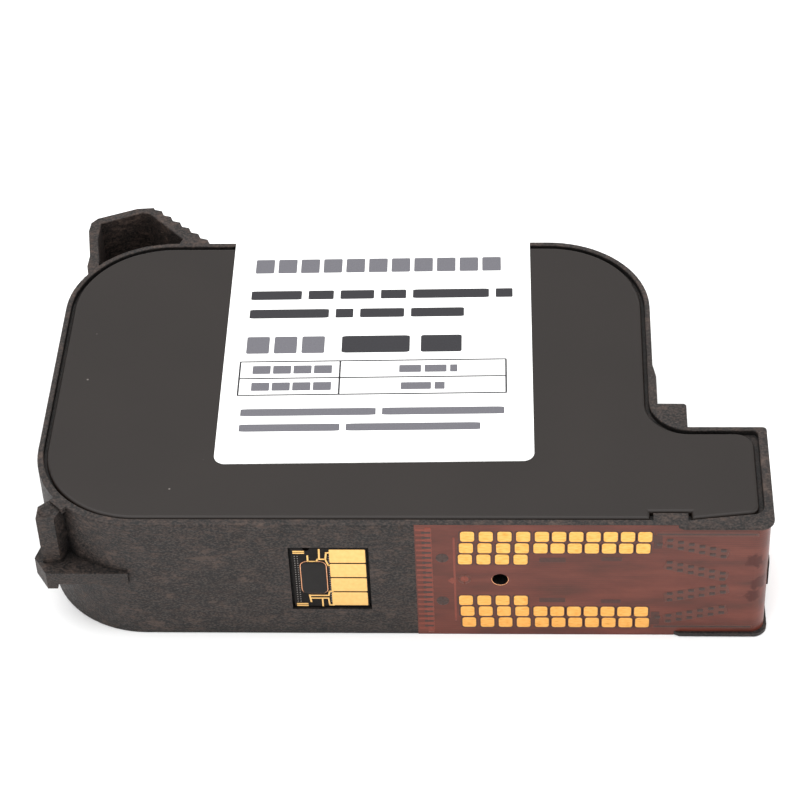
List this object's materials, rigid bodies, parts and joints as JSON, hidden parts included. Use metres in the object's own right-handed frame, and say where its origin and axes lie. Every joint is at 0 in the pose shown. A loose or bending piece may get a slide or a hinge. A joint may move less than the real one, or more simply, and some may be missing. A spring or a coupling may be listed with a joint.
{
  "type": "inkjet print cartridge",
  "caption": "Half-inch thermal inkjet cartridge of a date code printer: flat casing with snout, flexible contact circuit, memory board and finger grip.",
  "frame": {"origin": "middle of the footprint, on the surface that the cartridge lies on", "axes": "+X the way the nozzles fire, +Y away from the contact face, +Z out of the upper cover"},
  "size_m": [0.1022, 0.0696, 0.0218],
  "materials": {
    "frame_plastic": "glass-filled polyphenylene blend, moulded, matt with flow marks",
    "liner_plastic": "natural polypropylene, moulded",
    "cover_paint": "sheet steel, dark brown-black coating, semi-gloss",
    "bag_film": "laminated barrier film, silvery",
    "plate_steel": "stainless sheet, rolled",
    "spring_steel": "stainless spring strip",
    "filter_mesh": "woven stainless mesh",
    "ball_steel": "polished stainless ball",
    "flex_polyimide": "red-brown polyimide film over copper traces, glossy",
    "gold_plate": "gold plate over nickel and copper",
    "silicon": "silicon, polished",
    "epoxy": "dark epoxy",
    "barrier_polymer": "photo-imaged polymer",
    "nozzle_metal": "gold-plated electroformed nickel",
    "board": "black solder mask on glass epoxy",
    "label_paper": "white satin label stock"
  },
  "bodies": {
    "cartridge": {"frame": "frame_plastic", "inner_frame": "liner_plastic", "top_cover": "cover_paint", "bottom_cover": "cover_paint", "upper_film": "bag_film", "lower_film": "bag_film", "bow_spring": "spring_steel", "upper_filter": "filter_mesh", "lower_filter": "filter_mesh", "fill_ball": "ball_steel", "flex_circuit": "flex_polyimide", "contact_pads": "gold_plate", "printhead_die": "silicon", "die_adhesive": "epoxy", "ink_barrier": "barrier_polymer", "nozzle_plate": "nozzle_metal", "encapsulant_beads": "epoxy", "chip_board": "board", "chip_adhesive": "epoxy", "chip_contacts": "gold_plate", "chip_globtop": "epoxy", "label": "label_paper"},
    "upper_plate": {"upper_piston": "plate_steel"},
    "lower_plate": {"lower_piston": "plate_steel"}
  },
  "joints": [
    {"name": "upper_plate_slide", "type": "slide", "parent": "cartridge", "child": "upper_plate", "axis": [0, 0, -1], "range_m": [0, 0.007], "stiffness_N_per_m": 60, "springref_m": -0.02, "deforming": ["bow_spring", "upper_film"]},
    {"name": "lower_plate_slide", "type": "slide", "parent": "cartridge", "child": "lower_plate", "axis": [0, 0, 1], "range_m": [0, 0.007], "stiffness_N_per_m": 60, "springref_m": -0.02, "deforming": ["bow_spring", "lower_film"]}
  ],
  "couplings": [
    {"joint": "lower_plate_slide", "follows": "upper_plate_slide", "ratio": 1}
  ]
}
